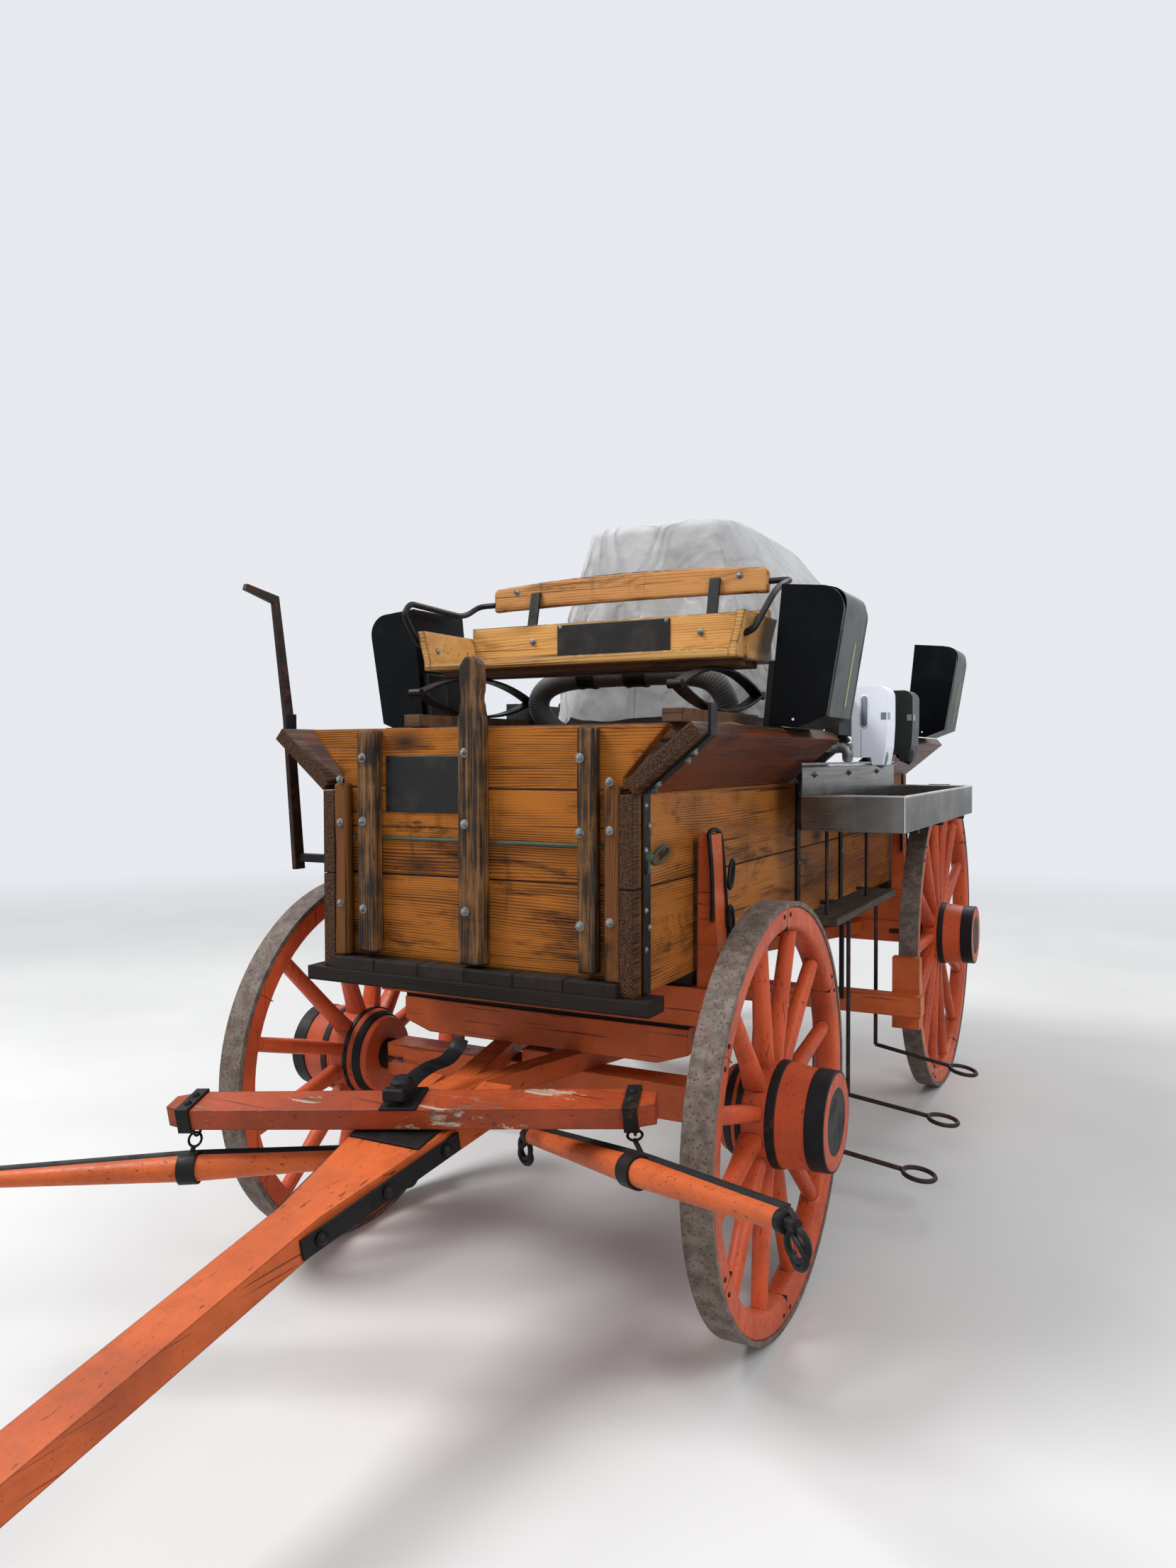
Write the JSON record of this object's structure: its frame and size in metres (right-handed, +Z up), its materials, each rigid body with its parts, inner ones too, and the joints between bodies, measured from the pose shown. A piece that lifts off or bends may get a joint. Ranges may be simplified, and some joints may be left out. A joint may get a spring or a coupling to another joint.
{
  "type": "horse-drawn water wagon",
  "caption": "Horse-drawn farm wagon with flared box, spring seat, canvas-covered water tank, hand-wash troughs, tongue, doubletree and singletrees.",
  "frame": {"origin": "on the ground at the centre of the bounding box", "axes": "+Z up, -Y forward along the tongue, +X to the wagon's right"},
  "size_m": [2.0594, 6.581, 2.345],
  "materials": {
    "orange_wood": "worn orange gloss paint on old boards",
    "pale_wood": "varnished pine boards with an orange tone",
    "brown_wood": "varnished brown boards, worn and stained",
    "grey_wood": "bare weathered boards",
    "black_wood": "black painted timber, worn",
    "black_iron": "black painted wrought iron with rust",
    "rusty_iron": "rusted bare iron",
    "stainless": "folded stainless sheet",
    "galvanised": "galvanised pipe",
    "black_plastic": "smoked black plastic",
    "white_plastic": "white plastic",
    "hose_rubber": "corrugated grey hose",
    "canvas": "off-white canvas",
    "tank_plastic": "pale moulded tank",
    "black_plate": "blank black plate"
  },
  "bodies": {
    "wagon_body": {"brake_beam": "orange_wood", "canvas_cover": "canvas", "cross_sills": "black_wood", "dispenser_rails": "black_wood", "faucet_pipes": "galvanised", "flare_boards": "brown_wood", "floor_planks": "black_wood", "front_bolster": "orange_wood", "gate_cleats": "brown_wood", "gear_irons": "black_iron", "reach": "orange_wood", "rear_axle": "orange_wood", "rear_bolster": "orange_wood", "rear_hounds": "orange_wood", "seat_backrest": "pale_wood", "seat_board": "pale_wood", "seat_irons": "black_iron", "seat_panels": "pale_wood", "seat_plaque": "black_plate", "seat_risers": "grey_wood", "shelf_boards": "grey_wood", "side_irons": "black_iron", "side_planks": "brown_wood", "sink_left": "stainless", "sink_right": "stainless", "soap_dispensers_dark": "black_plastic", "soap_dispensers_white": "white_plastic", "suction_hose": "hose_rubber", "towel_dispensers": "black_plastic", "trough_irons": "black_iron", "water_tank": "tank_plastic"},
    "front_gear": {"front_axle": "orange_wood", "front_irons": "black_iron", "sand_board": "orange_wood", "front_hounds": "orange_wood"},
    "wheel_front_right": {"wheel_front_right": "orange_wood", "tyre_front_right": "rusty_iron"},
    "wheel_front_left": {"wheel_front_left": "orange_wood", "tyre_front_left": "rusty_iron"},
    "wheel_rear_right": {"wheel_rear_right": "orange_wood", "tyre_rear_right": "rusty_iron"},
    "wheel_rear_left": {"wheel_rear_left": "orange_wood", "tyre_rear_left": "rusty_iron"},
    "tongue": {"tongue_pole": "orange_wood", "tongue_irons": "black_iron"},
    "doubletree": {"doubletree_bar": "orange_wood", "doubletree_irons": "black_iron"},
    "singletree_right": {"singletree_right": "orange_wood", "singletree_irons_right": "black_iron"},
    "singletree_left": {"singletree_left": "orange_wood", "singletree_irons_left": "black_iron"},
    "brake_lever": {"brake_lever": "black_iron"},
    "front_gate": {"front_gate_planks": "brown_wood", "front_gate_battens": "brown_wood", "gate_sign": "black_plate"},
    "rear_gate": {"rear_gate": "brown_wood"}
  },
  "joints": [
    {"name": "steering", "type": "hinge", "parent": "wagon_body", "child": "front_gear", "pos_m": [0, 0.1695, 0.7], "axis": [0, 0, 1], "range_deg": [-18, 18]},
    {"name": "spin_front_right", "type": "hinge", "parent": "front_gear", "child": "wheel_front_right", "pos_m": [0.696, 0.1695, 0.559], "axis": [1, 0, 0], "continuous": true},
    {"name": "spin_front_left", "type": "hinge", "parent": "front_gear", "child": "wheel_front_left", "pos_m": [-0.696, 0.1695, 0.559], "axis": [1, 0, 0], "continuous": true},
    {"name": "spin_rear_right", "type": "hinge", "parent": "wagon_body", "child": "wheel_rear_right", "pos_m": [0.696, 2.6045, 0.686], "axis": [1, 0, 0], "continuous": true},
    {"name": "spin_rear_left", "type": "hinge", "parent": "wagon_body", "child": "wheel_rear_left", "pos_m": [-0.696, 2.6045, 0.686], "axis": [1, 0, 0], "continuous": true},
    {"name": "tongue_lift", "type": "hinge", "parent": "front_gear", "child": "tongue", "pos_m": [0, -0.3005, 0.632], "axis": [-1, 0, 0], "range_deg": [0, 40]},
    {"name": "doubletree_swing", "type": "hinge", "parent": "tongue", "child": "doubletree", "pos_m": [0, -0.4985, 0.6232], "axis": [0, -0.1959, 0.9806], "range_deg": [-20, 2]},
    {"name": "singletree_swing_right", "type": "hinge", "parent": "doubletree", "child": "singletree_right", "pos_m": [0.524, -0.3324, 0.6451], "axis": [0, -0.1959, 0.9806], "range_deg": [-15, 10]},
    {"name": "singletree_swing_left", "type": "hinge", "parent": "doubletree", "child": "singletree_left", "pos_m": [-0.524, -0.6603, 0.5796], "axis": [0, -0.1959, 0.9806], "range_deg": [-15, 15]},
    {"name": "brake_lever_pull", "type": "hinge", "parent": "wagon_body", "child": "brake_lever", "pos_m": [-0.715, -0.0805, 1.2], "axis": [1, 0, 0], "range_deg": [-30, 0]},
    {"name": "front_gate_lift", "type": "slide", "parent": "wagon_body", "child": "front_gate", "axis": [0, 0, 1], "range_m": [0, 0.65]},
    {"name": "rear_gate_lift", "type": "slide", "parent": "wagon_body", "child": "rear_gate", "axis": [0, 0, 1], "range_m": [0, 0.5]}
  ]
}
